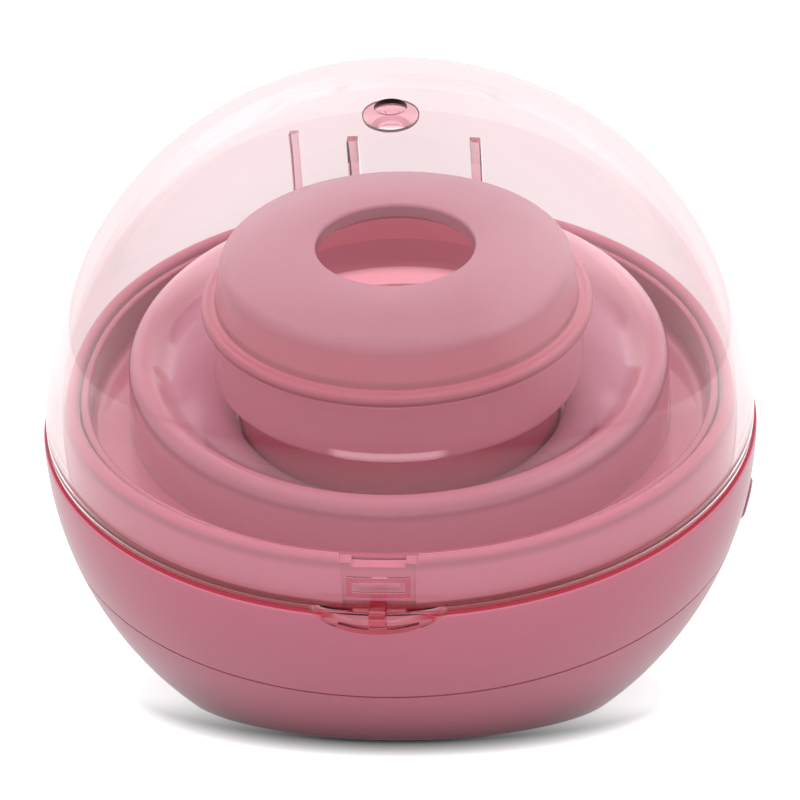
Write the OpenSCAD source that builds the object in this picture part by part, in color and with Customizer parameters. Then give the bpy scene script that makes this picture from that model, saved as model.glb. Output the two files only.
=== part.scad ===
// Pacifier sterilizer case: a pink ball with a flat underside, split by a seam
// that leans forward. Base, clear hinged dome, and a lift-off pacifier holder.
// Millimetres. Origin: centre of the underside. +Z up, the latch faces -Y.
// The "leaning frame" has its origin at the ball's centre and its Z axis square
// to the seam plane; heights named *_z there count from the seam plane.

/* [Ball] */
// Outer radius of the pink base
ball_r = 44.5; // [43.5:0.1:45.5]
// Height of the ball's centre over the table
ball_h = 36; // [35:0.1:37]
// Forward lean of the seam plane, degrees
lean = 22.6; // [21:0.1:24]
// Wall of the two base shells
shell_wall = 2.2; // [1.8:0.1:2.4]
// Height of the line where the two shells meet
parting_z = -13.1; // [-14:0.1:-12.5]
// Gap between the table and the underside, beside the foot pad
foot_gap = 0.4; // [0.2:0.1:0.8]
// Radius of the rubber foot pad
foot_r = 25; // [24.8:0.1:25.5]

/* [Dome] */
// Outer radius of the clear dome
dome_r = 44.15; // [43.9:0.05:44.3]
// Wall of the dome
dome_wall = 2.05; // [1.8:0.05:2.1]
// Height of the dome's centre
dome_z = 0.2; // [0.1:0.05:0.3]
// Width of the thumb tab
tab_w = 16.2; // [12:0.2:20]
// How far the thumb tab reaches from the ball's axis
tab_reach = 47.2; // [46:0.1:48.5]
// Height of the two ribs over the hinge
rib_top_z = 18.5; // [16:0.5:20]
// Distance of those ribs from the middle
rib_x = 8.4; // [8:0.1:9]

/* [Hinge] */
// Distance of the pin from the ball's axis
pin_y = 47.3; // [47:0.1:48]
// Height of the pin
pin_z = 0.5; // [0:0.1:1]
// Radius of the steel pin
pin_r = 0.95; // [0.8:0.05:1.1]
// Outer radius of the knuckles
knuckle_r = 2.3; // [2:0.1:2.5]

/* [Inside] */
// Height of the neck's rim, which stands inside the dome
neck_z = 6.4; // [5.5:0.1:7]
// Height of the tray floor
tray_z = 0.6; // [0:0.1:1]
// Middle radius of the dish's rolled rim
rim_r = 31.5; // [30:0.1:32]
// Roll radius of the dish's rim
rim_roll = 1.85; // [1.6:0.05:2.5]
// Backward lean of the dish against the seam plane, degrees
dish_lean = 4; // [0:0.5:5]
// Outer radius of the lamp housing
lamp_r = 20.2; // [19.8:0.1:20.5]
// Depth of the lamp window under the seam plane
well_depth = 6; // [5:0.5:7]

/* [Holder] */
// Radius of the hole in the cap
hole_r = 9.7; // [8.5:0.1:10.5]
// Radius of the cap's lip
lip_r = 24; // [23.5:0.1:24.5]
// Outer radius of the translucent ring
ring_r = 22.9; // [22.5:0.1:23.2]
// Top of the cap's crown
crown_z = 24.35; // [24:0.05:25]

/* [Power button] */
// Radius of the button
button_r = 2.65; // [2.2:0.05:2.7]
// Height of the button over the table
button_h = 25.6; // [25.4:0.1:26.5]

/* [Hidden] */
$fn = 96;

inner_r = ball_r - shell_wall;
dome_in = dome_r - dome_wall;
seam_gap = 0.2;
rim_z = 0.1;
floor_z = foot_gap + 2.4;
foot_h = 1.2;
ledge_z = -2.2;
neck_gap = 0.3;
neck_roll = 0.85;
tray_r = 39.6;
tray_t = 1.4;
flange_r = 36.6;
housing_bore = 18.7;
housing_top = 7.1;
window_r = 12.8;
window_z = -well_depth;
uv_board_z = window_z - 3.8;
uv_board_r = 17;
lamp_post_r = 15;
ring_bottom = 7;
ring_floor = 8.1;
ring_in = 21;
lip_z = 15.4;
post_x = 20;
post_y = 10;
boss_top = 8;
board_z = 14;
board_t = 1.6;
board_screw = [12, 16];
port_z = board_z + board_t;
lug_half = 1.4;
lug_gap = 0.4;
knuckle_in = rib_x - lug_half - lug_gap;
knuckle_out = rib_x + lug_half + lug_gap;
hinge_end = 13.2;
magnet_y = 44.2;
magnet_z = 4.6;
button_gap = 0.1;
pink = [0.80, 0.50, 0.56];
gloss_pink = [0.76, 0.42, 0.49];

// Placement helpers

// Puts its children in the leaning frame
module leaning() {
  translate([0, 0, ball_h]) rotate([lean, 0, 0]) children();
}

// Everything over height z
module over(z) {
  translate([-70, -70, z]) cube([140, 140, 120]);
}

// Everything under height z
module under(z) {
  translate([-70, -70, z - 120]) cube([140, 140, 120]);
}

// A ball round the base's centre
module ball(r) {
  translate([0, 0, ball_h]) sphere(r, $fn = 128);
}

// Points of an arc, for turned profiles
function arc(c, r, a0, a1, n = 8) =
  [for (i = [0:n]) let (a = a0 + (a1 - a0) * i / n) [c[0] + r * cos(a), c[1] + r * sin(a)]];

// A round bar along X from x0 to x1
module bar_x(x0, x1, r, fn = 32) {
  translate([x0, 0, 0]) rotate([0, 90, 0]) cylinder(h = x1 - x0, r = r, $fn = fn);
}

// Children at the four shell screws
module at_shell_screws() {
  for (sx = [-1, 1], sy = [-1, 1]) translate([sx * post_x, sy * post_y, 0]) children();
}

// Children at the four corners of the main board
module at_board_screws() {
  for (sx = [-1, 1], sy = [-1, 1]) translate([sx * board_screw[0], sy * board_screw[1] + 1, 0]) children();
}

// Children at the three lamp screws
module at_lamp_screws() {
  for (i = [0:2]) rotate([0, 0, 90 + 120 * i]) translate([lamp_post_r, 0, 0]) children();
}

// Base shells

module lower_shell() {
  color(pink) difference() {
    union() {
      difference() {
        intersection() {
          ball(ball_r);
          leaning() under(parting_z);
          over(foot_gap);
        }
        intersection() {
          ball(inner_r);
          over(floor_z);
        }
      }
      at_shell_screws() translate([0, 0, floor_z - 0.5]) cylinder(h = boss_top - floor_z + 0.5, r = 3.4, $fn = 40);
      at_board_screws() translate([0, 0, floor_z - 0.5]) cylinder(h = board_z - floor_z + 0.5, r = 2.2, $fn = 32);
    }
    // recess for the foot pad
    translate([0, 0, -1]) cylinder(h = foot_h + 1, r = foot_r, $fn = 96);
    // screw heads and shanks
    at_shell_screws() {
      cylinder(h = foot_h + 1.8, r = 2.1, $fn = 32);
      cylinder(h = boss_top + 1, r = 1.1, $fn = 32);
    }
    at_board_screws() translate([0, 0, board_z - 6]) cylinder(h = 7, r = 0.9, $fn = 24);
    // mouth of the charging port and hole for the light pipe
    translate([-5, 30, port_z - 0.4]) cube([10, 20, 4]);
    translate([9, 30, port_z + 1.6]) rotate([-90, 0, 0]) cylinder(h = 20, r = 1, $fn = 32);
  }
}

// Radius of the neck at height z: it follows the inside of the dome
function neck_r(z) = sqrt(pow(dome_in - neck_gap, 2) - pow(z - dome_z, 2));

// Section of the neck: ledge under the dome's rim, and a flange under the tray
module neck_profile() {
  flange_z = tray_z - tray_t;
  roll_z = neck_z - neck_roll;
  polygon(concat(
    [[flange_r, ledge_z], [43.4, ledge_z], [43.4, -seam_gap], [neck_r(-seam_gap), -seam_gap]],
    [for (z = [1.8, 3.8]) [neck_r(z), z]],
    arc([neck_r(roll_z) - neck_roll, roll_z], neck_roll, 0, 180, 6),
    [[tray_r, flange_z], [flange_r, flange_z]]));
}

// Neck, with a flat recess at the front that lets the dome's catch frame pass
module neck() {
  recess_w = 8.6;
  recess_y = -41.2;
  difference() {
    rotate_extrude($fn = 128) neck_profile();
    translate([-recess_w / 2, recess_y - 3, ledge_z + 2.1]) cube([recess_w, 3, neck_z + 2]);
  }
}

// Section of the inner lip that reaches down into the lower shell
module lip_profile() {
  polygon([[38.6, -15.1], [39.4, -15.1], [40.05, parting_z], [41, parting_z], [41, -11], [39.5, -11]]);
}

// Side view of the solid that carries a base knuckle, rooted in the wall at root_y
module hinge_bracket_outline(root_y) {
  polygon([[root_y, -6.5], [44.3, -6.5], [pin_y + 1.7, pin_z - 1.6], [pin_y, pin_z],
           [45.2, 0.2], [44.7, -seam_gap], [root_y, -seam_gap]]);
}

module knuckle(x0, x1) {
  translate([0, pin_y, pin_z]) bar_x(x0, x1, knuckle_r, 40);
}

// Extrudes a side view, drawn in Y and Z, from x0 to x1
module side_extrude(x0, x1) {
  translate([x0, 0, 0]) rotate([90, 0, 90]) linear_extrude(x1 - x0) children();
}

module upper_shell() {
  // inner end, outer end and root of each base knuckle
  hinge_spans = [[-hinge_end, -knuckle_out, 41.4], [-knuckle_in, knuckle_in, 43], [knuckle_out, hinge_end, 41.4]];
  color(pink) difference() {
    union() {
      difference() {
        intersection() {
          ball(ball_r);
          leaning() over(parting_z);
          leaning() under(-seam_gap);
        }
        ball(inner_r);
      }
      leaning() neck();
      leaning() for (s = hinge_spans) {
        side_extrude(s[0], s[1]) hinge_bracket_outline(s[2]);
        knuckle(s[0], s[1]);
      }
      // snap bead inside the dome's catch frame
      leaning() translate([-2.4, -41.4, 2.3]) cube([4.8, 1, 1]);
      leaning() difference() {
        rotate_extrude($fn = 128) lip_profile();
        // the lip stops beside the button
        translate([34, -12, -20]) cube([10, 18, 12]);
      }
      // boss that carries the button board
      intersection() {
        translate([33, -5, button_h + 3.8]) cube([10, 10, 2]);
        ball(ball_r - 1);
      }
    }
    // slot for the button board
    translate([34.2, -4.5, button_h]) cube([1.2, 9, 4.8]);
    // pin bore
    leaning() translate([0, pin_y, pin_z]) bar_x(-15, 15, pin_r, 32);
    // stepped finger notch in the neck's rim, behind the latch
    leaning() translate([-4.65, -43, neck_z - 0.6]) cube([9.3, 6, 2]);
    leaning() translate([-3.2, -43, neck_z - 1.2]) cube([6.4, 6, 2]);
    // hole for the power button
    translate([0, 0, button_h]) bar_x(36, 50, button_r + button_gap, 48);
  }
}

module foot_pad() {
  color([0.45, 0.28, 0.32]) cylinder(h = foot_h, r = foot_r, $fn = 96);
}

module shell_screws() {
  color("silver") at_shell_screws() {
    translate([0, 0, foot_h + 0.1]) cylinder(h = 1.7, r = 1.9, $fn = 32);
    translate([0, 0, foot_h + 1.5]) cylinder(h = 12, r = 0.95, $fn = 32);
  }
}

// Tray, dish and lamp

module inner_tray() {
  color(gloss_pink) difference() {
    union() {
      leaning() rotate_extrude($fn = 128) polygon(concat(
        [[tray_r, neck_z - 0.9], [tray_r, tray_z - 0.2], [tray_r - 1.1, tray_z - tray_t],
         [housing_bore, tray_z - tray_t], [housing_bore, tray_z]],
        arc([tray_r - 2.6, tray_z + 1.4], 1.4, -90, 0, 5),
        [[tray_r - 1.1, neck_z - 0.9]]));
      intersection() {
        at_shell_screws() translate([0, 0, boss_top]) cylinder(h = 40, r = 2.6, $fn = 32);
        leaning() under(tray_z - 0.5);
      }
    }
    at_shell_screws() translate([0, 0, boss_top - 1]) cylinder(h = 8, r = 0.95, $fn = 32);
  }
}

// Section of the dish, in its own frame: foot, rolled rim, inner cone, collar
module dish_profile() {
  wall = 1.3;
  rim_c = [rim_r, 8.6];
  foot_out = 34.1;
  collar_r = lamp_r + 0.5;
  polygon(concat(
    [[foot_out - wall, -4], [foot_out, -4], [foot_out - 0.3, 1.2]],
    arc(rim_c, rim_roll, 0, 132, 12),
    [[collar_r, 2.1], [collar_r, -4], [collar_r + wall, -4], [collar_r + wall, 1.3]],
    arc(rim_c, rim_roll - wall, 132, 0, 8),
    [[foot_out - wall - 0.3, 1.2]]));
}

module reflector_dish() {
  pivot_z = 9.2;
  color(gloss_pink) intersection() {
    leaning() translate([0, 0, pivot_z]) rotate([dish_lean, 0, 0]) translate([0, 0, -pivot_z])
      rotate_extrude($fn = 128) dish_profile();
    leaning() over(tray_z);
  }
}

// Reflector cup: glossy wall over the tray, cone and window seat below it
module lamp_housing() {
  cup_r = 18.6;
  floor_in = 11;
  color([0.62, 0.50, 0.54]) leaning() difference() {
    union() {
      rotate_extrude($fn = 128) polygon([
        [lamp_r, tray_z], [lamp_r, housing_top - 0.3], [lamp_r - 0.3, housing_top],
        [cup_r + 0.3, housing_top], [cup_r, housing_top - 0.3], [cup_r - 1.2, tray_z],
        [window_r + 1.6, window_z + 1], [floor_in, window_z + 1], [floor_in, window_z],
        [window_r, window_z], [window_r, window_z - 1.6], [window_r + 1.3, window_z - 1.6],
        [window_r + 2.6, window_z - 0.2], [cup_r, tray_z - 2.4], [cup_r, tray_z]]);
      at_lamp_screws() translate([0, 0, uv_board_z]) cylinder(h = window_z + 0.5 - uv_board_z, r = 2, $fn = 32);
    }
    at_lamp_screws() translate([0, 0, uv_board_z - 1]) cylinder(h = 4.9, r = 0.8, $fn = 24);
    // the window's seat stays open where the posts cross it
    translate([0, 0, window_z - 4]) cylinder(h = 4, r = window_r, $fn = 96);
  }
}

module lamp_seal() {
  color([0.25, 0.25, 0.27]) leaning() translate([0, 0, window_z - 0.6]) difference() {
    cylinder(h = 0.6, r = window_r, $fn = 96);
    translate([0, 0, -1]) cylinder(h = 3, r = 11, $fn = 64);
  }
}

module uv_window() {
  color([0.85, 0.9, 0.95]) leaning() translate([0, 0, window_z - 1.6]) cylinder(h = 1, r = window_r, $fn = 96);
}

module uv_board() {
  color([0.72, 0.42, 0.50]) leaning() translate([0, 0, uv_board_z - 1.2]) difference() {
    cylinder(h = 1.2, r = uv_board_r, $fn = 64);
    at_lamp_screws() translate([0, 0, -1]) cylinder(h = 3, r = 0.95, $fn = 24);
  }
}

// Four square lamps: a ceramic body with a round lens window each
module uv_leds() {
  lamp_s = 3.5;
  color([0.95, 0.93, 0.85]) leaning() for (a = [0:90:270])
    rotate([0, 0, a + 45]) translate([6.5, 0, uv_board_z]) difference() {
      translate([-lamp_s / 2, -lamp_s / 2, 0]) cube([lamp_s, lamp_s, 1.3]);
      translate([0, 0, 0.9]) cylinder(h = 1, r = 1.25, $fn = 32);
    }
}

module lamp_screws() {
  color("silver") leaning() at_lamp_screws() {
    translate([0, 0, uv_board_z - 2.2]) cylinder(h = 1, r = 1.7, $fn = 32);
    translate([0, 0, uv_board_z - 1.4]) cylinder(h = 4.6, r = 0.8, $fn = 24);
  }
}

// Flat cable: over the main board's front edge, round, and onto the lamp board
module lamp_cable() {
  t = 0.4;
  r_out = 2.6;
  cz = board_z + board_t + r_out;
  cy = ((cz - ball_h) * cos(lean) + r_out - t - uv_board_z) / sin(lean);
  along = [cos(lean), sin(lean)];
  c = [cy, cz];
  outer = arc(c, r_out, -90, -270 + lean, 16);
  inner = arc(c, r_out - t, -270 + lean, -90, 16);
  color([0.9, 0.85, 0.7]) side_extrude(-3, 3) polygon(concat(
    [[cy + 3, cz - r_out]], outer, [outer[16] + 3 * along, inner[0] + 3 * along], inner,
    [[cy + 3, cz - r_out + t]]));
}

// Electronics in the base

module main_board() {
  color([0.1, 0.42, 0.25]) difference() {
    union() {
      translate([-16, -18, board_z]) cube([32, 38, board_t]);
      translate([-11, 19, board_z]) cube([22, 14, board_t]);
    }
    at_board_screws() translate([0, 0, board_z - 1]) cylinder(h = 4, r = 0.95, $fn = 24);
  }
}

module board_chips() {
  top = board_z + board_t;
  color([0.15, 0.15, 0.16]) {
    translate([-9, 2, top]) cube([7, 7, 1]);
    translate([2, 4, top]) cube([5, 4, 1.2]);
    translate([-8, -7, top]) cube([4, 4, 1.4]);
    translate([6, -6, top]) cylinder(h = 2.2, r = 2.4, $fn = 32);
  }
}

module board_screws() {
  color("silver") at_board_screws() {
    translate([0, 0, board_z + board_t]) cylinder(h = 1.1, r = 1.7, $fn = 32);
    translate([0, 0, board_z - 4]) cylinder(h = 4 + board_t + 0.2, r = 0.9, $fn = 24);
  }
}

module battery() {
  color([0.75, 0.78, 0.82]) translate([-14, -11, floor_z + 1]) {
    cube([28, 22, 6.5]);
    translate([6, -0.8, 2.4]) cube([16, 0.8, 1.6]);
  }
}

module battery_tray() {
  color([0.85, 0.85, 0.83]) translate([-15.4, -12.8, floor_z]) difference() {
    cube([30.8, 25.6, 5]);
    translate([1.4, 1, 1]) cube([28, 23.6, 5]);
    translate([-1, 8, 2.4]) cube([33, 9.6, 4]);
  }
}

module charging_port() {
  color("silver") translate([-4.5, 31.5, port_z]) difference() {
    cube([9, 7.8, 3.2]);
    translate([0.4, 1.2, 0.4]) cube([8.2, 8, 2.4]);
  }
  color([0.2, 0.2, 0.2]) translate([-3.2, 32.5, port_z + 1.25]) cube([6.4, 5.2, 0.7]);
}

module charge_light() {
  color([0.9, 0.95, 0.9]) {
    intersection() {
      translate([9, 31, port_z + 1.6]) rotate([-90, 0, 0]) cylinder(h = 20, r = 1, $fn = 32);
      ball(ball_r - 0.1);
    }
    translate([8, 30, port_z]) cube([2, 1.4, 2.4]);
  }
}

module button_board() {
  color([0.1, 0.42, 0.25]) translate([34.2, -4.5, button_h - 4.2]) cube([1.2, 9, 9]);
}

module button_switch() {
  color([0.2, 0.2, 0.2]) translate([0, 0, button_h]) {
    translate([35.4, -2.25, -2.25]) cube([1.2, 4.5, 4.5]);
    bar_x(36.5, 37, 1, 24);
  }
}

module lid_sensor() {
  color([0.2, 0.2, 0.2]) leaning() translate([-2.5, 39.3, ledge_z - 3]) cube([5, 1.5, 3]);
}

module hinge_pin() {
  color("silver") leaning() translate([0, pin_y, pin_z]) {
    bar_x(-hinge_end, hinge_end, pin_r, 32);
    bar_x(hinge_end, hinge_end + 0.6, 1.5, 32);
  }
}

// Lid

// Side view of a hinge rib on the outside of the dome, with its slanted top
module rib_outline() {
  polygon([[42.6, 1], [pin_y, pin_z], [pin_y + 0.4, pin_z + 2.1], [46.5, 6], [45.4, 9.5],
           [43.6, 13.5], [40.6, rib_top_z + 0.4], [37.8, rib_top_z - 0.4], [41.4, 8]]);
}

module tab_profile() {
  polygon([[43.2, rim_z], [43.2, 1], [44.5, 1], [46.6, 0.35], [tab_reach + 0.3, -0.3],
           [tab_reach + 0.2, -1.1], [46.6, -1.4], [44.95, -1.4], [44.85, rim_z]]);
}

// Thumb tab: a turned lip, cut to a boat shape in plan
module thumb_tab() {
  root_y = 43.4;
  sagitta = tab_reach - root_y;
  plan_r = (pow(tab_w / 2, 2) + sagitta * sagitta) / (2 * sagitta);
  intersection() {
    rotate_extrude($fn = 128) tab_profile();
    translate([0, -(tab_reach - plan_r), -5]) cylinder(h = 10, r = plan_r, $fn = 96);
  }
}

// Raised frame on the inside of the dome, round the bead
module catch_frame() {
  w = 7.4;
  z0 = 1.5;
  z1 = 4.1;
  bar = 0.6;
  intersection() {
    difference() {
      translate([-w / 2, -43, z0]) cube([w, 3, z1 - z0]);
      translate([-w / 2 + bar, -44, z0 + bar]) cube([w - 2 * bar, 5, z1 - z0 - 2 * bar]);
    }
    difference() {
      cylinder(h = 10, r = 43, $fn = 96);
      translate([0, 0, -1]) cylinder(h = 12, r = 41.75, $fn = 96);
    }
  }
}

module dome() {
  recess_r = 2;
  boss_r = 3.35;
  top_z = dome_z + dome_r;
  under_z = dome_z + dome_in;
  guide_x = -16;
  rib_w = 1.5;
  guide_w = 1.3;
  color([0.95, 0.82, 0.86, 0.45]) leaning() difference() {
    union() {
      difference() {
        intersection() {
          translate([0, 0, dome_z]) sphere(dome_r, $fn = 160);
          over(rim_z);
        }
        translate([0, 0, dome_z]) sphere(dome_in, $fn = 160);
      }
      // boss under the moulding gate at the pole
      translate([0, 0, under_z - 0.6]) cylinder(h = 1.4, r = boss_r, $fn = 48);
      thumb_tab();
      translate([-0.9, -tab_reach, 0]) cube([1.8, 3.4, 1.2]);
      catch_frame();
      for (s = [-1, 1]) {
        side_extrude(s * rib_x - rib_w / 2, s * rib_x + rib_w / 2) rib_outline();
        knuckle(s * rib_x - lug_half, s * rib_x + lug_half);
      }
      // longer guide rib on the left of the hinge
      difference() {
        intersection() {
          translate([guide_x - guide_w / 2, 25, 6]) cube([guide_w, 25, 16.5]);
          translate([0, 0, dome_z]) sphere(dome_r + 0.9, $fn = 128);
        }
        translate([0, 0, dome_z]) sphere(dome_in + 0.5, $fn = 128);
      }
      // boss for the magnet
      translate([0, 42.9, magnet_z]) rotate([-90, 0, 0]) cylinder(h = 2.7, r = 1.9, $fn = 40);
    }
    // round recess of the moulding gate
    translate([0, 0, top_z - 0.85]) cylinder(h = 3, r = recess_r, $fn = 48);
    translate([0, magnet_y, magnet_z]) rotate([-90, 0, 0]) cylinder(h = 4, r = 1.4, $fn = 32);
    translate([0, pin_y, pin_z]) bar_x(-15, 15, pin_r + 0.05, 32);
  }
}

module lid_magnet() {
  color([0.6, 0.6, 0.62]) leaning() translate([0, magnet_y, magnet_z]) rotate([-90, 0, 0]) cylinder(h = 1.2, r = 1.4, $fn = 32);
}

// Holder

// Cap: crown with the teat hole, rolled lip, and a skirt that plugs into the ring
module holder_cap() {
  plug = [19.5, 20.8, 13.5];
  color([0.85, 0.60, 0.66]) leaning() rotate_extrude($fn = 128) polygon(concat(
    [[hole_r + 0.4, crown_z - 2.3], [hole_r, crown_z - 1.9], [hole_r, crown_z - 1]],
    arc([hole_r + 0.9, crown_z - 0.95], 0.9, 170, 95, 4),
    [[13, crown_z], [16, crown_z - 0.25], [18.6, crown_z - 0.8], [20.2, crown_z - 1.35]],
    arc([20.2, crown_z - 2.95], 1.6, 75, 0, 5),
    [[21.85, 20.2], [22.1, 19.3], [22.6, 18.5], [23.3, 17.9]],
    arc([lip_r - 0.95, 16.85], 0.95, 60, -60, 6),
    [[23.2, 15.6], [22.8, lip_z], [plug[1], lip_z], [plug[1], plug[2] + 0.4],
     [plug[1] - 0.4, plug[2]], [plug[0] + 0.3, plug[2]], [plug[0], plug[2] + 0.3],
     [plug[0], 19.4], [18.4, 20.6], [14, crown_z - 2.1]]));
}

// Translucent ring: wall, rounded foot, and the floor that rests on the cup
module holder_ring() {
  floor_in = 17.9;
  under_z = ring_bottom + 0.2;
  foot_round = 2;
  color([0.72, 0.36, 0.44, 0.85]) leaning() rotate_extrude($fn = 128) polygon(concat(
    [[floor_in, under_z], [lamp_r + 0.3, under_z], [lamp_r + 0.3, ring_bottom]],
    arc([ring_r - foot_round, ring_bottom + foot_round], foot_round, -90, 0, 6),
    [[ring_r, lip_z], [ring_in, lip_z]],
    arc([ring_in - 0.8, ring_floor + 0.8], 0.8, 0, -90, 3),
    [[floor_in, ring_floor]]));
}

module power_button() {
  color(gloss_pink) translate([0, 0, button_h]) {
    intersection() {
      bar_x(39.5, 48, button_r, 48);
      translate([0, 0, ball_h - button_h]) sphere(ball_r + 0.35, $fn = 96);
    }
    bar_x(39, 39.9, 3.3, 48);
    bar_x(37.85, 39.2, 1.2, 32);
  }
}

lower_shell();
upper_shell();
inner_tray();
reflector_dish();
lamp_housing();
lamp_seal();
uv_window();
uv_board();
uv_leds();
lamp_screws();
lamp_cable();
main_board();
board_chips();
board_screws();
battery();
battery_tray();
charging_port();
charge_light();
button_board();
button_switch();
lid_sensor();
hinge_pin();
shell_screws();
foot_pad();
dome();
lid_magnet();
holder_cap();
holder_ring();
power_button();
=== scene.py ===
import math
import bmesh
import bpy
from mathutils import Matrix, Vector


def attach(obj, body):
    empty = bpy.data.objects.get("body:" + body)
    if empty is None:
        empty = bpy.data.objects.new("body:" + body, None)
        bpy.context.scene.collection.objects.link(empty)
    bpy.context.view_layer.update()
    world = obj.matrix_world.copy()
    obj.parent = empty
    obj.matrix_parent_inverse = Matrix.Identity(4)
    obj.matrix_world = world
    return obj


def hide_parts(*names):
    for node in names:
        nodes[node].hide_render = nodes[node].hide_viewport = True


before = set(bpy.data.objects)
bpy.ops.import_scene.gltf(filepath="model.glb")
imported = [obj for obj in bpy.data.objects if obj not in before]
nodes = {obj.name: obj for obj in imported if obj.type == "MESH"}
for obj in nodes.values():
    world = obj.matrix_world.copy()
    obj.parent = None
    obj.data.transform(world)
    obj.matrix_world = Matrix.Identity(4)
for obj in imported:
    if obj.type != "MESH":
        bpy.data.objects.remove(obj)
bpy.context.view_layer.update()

# Sizes in millimetres. The leaning frame has its origin at the ball's centre and
# its Z axis square to the seam plane, and heights count from that plane.

MM = 0.001
BALL_R = 44.5
BALL_H = 36.0
LEAN = math.radians(22.6)
SHELL_WALL = 2.2
INNER_R = BALL_R - SHELL_WALL
PARTING_Z = -13.1
GROOVE = 0.14
FOOT_GAP = 0.4
FOOT_R = 25.0
FOOT_H = 1.2
DOME_R = 44.15
DOME_IN = 42.1
DOME_Z = 0.2
RIM_Z = 0.1
NECK_Z = 6.4
NECK_GAP = 0.3
NECK_RISE = 1.0
LEDGE_Z = -2.2
SEAM_GAP = 0.2
TRAY_R = 39.6
TRAY_Z = 0.6
TRAY_T = 1.4
FLANGE_R = 36.6
DISH_RIM_R = 31.5
DISH_RIM_Z = 8.6
DISH_ROLL = 1.85
DISH_WALL = 1.3
DISH_FOOT_R = 34.1
DISH_LEAN = math.radians(4)
DISH_PIVOT_Z = 9.2
LAMP_R = 20.2
RING_R = 22.9
PIN_Y = 47.3
PIN_Z = 0.5
KNUCKLE_R = 2.3
RIB_X = 8.4
RIB_W = 1.5
LUG_HALF = 1.4
LUG_GAP = 0.4
HINGE_END = 13.2
TAB_W = 16.2
TAB_REACH = 47.2
BUTTON_R = 2.65
BUTTON_H = 25.6
POST = (20, 10)
BOARD_SCREW = (12, 16, 1)
BOARD_Z = 14

UPRIGHT = Matrix.Identity(4)
LEANING = Matrix.Translation((0, 0, BALL_H * MM)) @ Matrix.Rotation(LEAN, 4, "X")
ROUND = 192
FINE = 256


# Profiles and outlines

def arc(cx, cz, r, a0, a1, n=10):
    """Points of an arc, angles in degrees."""
    out = []
    for i in range(n + 1):
        a = math.radians(a0 + (a1 - a0) * i / n)
        out.append((cx + r * math.cos(a), cz + r * math.sin(a)))
    return out


def ball_arc(r, z0, z1, centre=0.0, n=24):
    """Profile points on a ball of radius r, from height z0 to z1."""
    a0 = math.degrees(math.asin((z0 - centre) / r))
    a1 = math.degrees(math.asin((z1 - centre) / r))
    return arc(0, centre, r, a0, a1, n)


def rounded(points, n=6):
    """Rounds each corner (r, z, fillet) of a closed profile by its fillet radius."""
    out = []
    count = len(points)
    for i, p in enumerate(points):
        fillet = p[2] if len(p) > 2 else 0
        corner = Vector(p[:2])
        if not fillet:
            out.append(tuple(corner))
            continue
        back = Vector(points[i - 1][:2]) - corner
        ahead = Vector(points[(i + 1) % count][:2]) - corner
        half = back.angle(ahead) / 2
        reach = min(fillet / math.tan(half), back.length * 0.49, ahead.length * 0.49)
        fillet = reach * math.tan(half)
        start = corner + back.normalized() * reach
        end = corner + ahead.normalized() * reach
        mid = corner + (back.normalized() + ahead.normalized()).normalized() * (fillet / math.sin(half))
        a0 = math.atan2(start.y - mid.y, start.x - mid.x)
        a1 = math.atan2(end.y - mid.y, end.x - mid.x)
        turn = (a1 - a0 + math.pi) % (2 * math.pi) - math.pi
        out += arc(mid.x, mid.y, fillet, math.degrees(a0), math.degrees(a0 + turn), n)
    return out


# Mesh builders

def smooth(me, sharp=35):
    for p in me.polygons:
        p.use_smooth = True
    me.set_sharp_from_angle(angle=math.radians(sharp))


def finish_mesh(name, bm, mat, place=LEANING):
    """Turns a bmesh in millimetres into an object in metres, smooth but for its sharp edges."""
    bmesh.ops.remove_doubles(bm, verts=bm.verts, dist=1e-4)
    bmesh.ops.recalc_face_normals(bm, faces=bm.faces)
    me = bpy.data.meshes.new(name)
    bm.to_mesh(me)
    bm.free()
    me.transform(place @ Matrix.Scale(MM, 4))
    smooth(me)
    me.materials.append(mat)
    ob = bpy.data.objects.new(name, me)
    bpy.context.scene.collection.objects.link(ob)
    return ob


def skin(bm, rings, loop=False):
    """Joins rings of equally many points with quads; a ring of one point is a pole."""
    pairs = list(zip(rings, rings[1:]))
    if loop:
        pairs.append((rings[-1], rings[0]))
    for a, b in pairs:
        for i in range(max(len(a), len(b))):
            j = i + 1
            quad = [a[i % len(a)], a[j % len(a)], b[j % len(b)], b[i % len(b)]]
            face = list(dict.fromkeys(quad))
            if len(face) > 2:
                bm.faces.new(face)


def circle(bm, r, z, segs, centre=(0, 0)):
    if r < 1e-6:
        return [bm.verts.new((centre[0], centre[1], z))]
    turns = [2 * math.pi * i / segs for i in range(segs)]
    return [bm.verts.new((centre[0] + r * math.cos(a), centre[1] + r * math.sin(a), z)) for a in turns]


def revolve(bm, profile, segs=ROUND, centre=(0, 0)):
    """Adds a turned solid: profile is a closed list of (r, z)."""
    skin(bm, [circle(bm, r, z, segs, centre) for r, z in profile], loop=True)


def lathe(name, profile, mat, place=LEANING, segs=ROUND):
    bm = bmesh.new()
    revolve(bm, profile, segs)
    return finish_mesh(name, bm, mat, place)


def prism(bm, outline, x0, x1, bevel=0.0):
    """Adds a side view, drawn in Y and Z, from x0 to x1, with its edges bevelled."""
    low = [bm.verts.new((x0, y, z)) for y, z in outline]
    high = [bm.verts.new((x1, y, z)) for y, z in outline]
    faces = [bm.faces.new(low), bm.faces.new(high)]
    for i in range(len(outline)):
        j = (i + 1) % len(outline)
        faces.append(bm.faces.new((low[i], low[j], high[j], high[i])))
    bmesh.ops.recalc_face_normals(bm, faces=faces)
    if bevel:
        edges = list({e for e in faces[0].edges} | {e for e in faces[1].edges})
        bmesh.ops.bevel(bm, geom=edges, offset=bevel, segments=2, affect="EDGES", profile=0.5)


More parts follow.
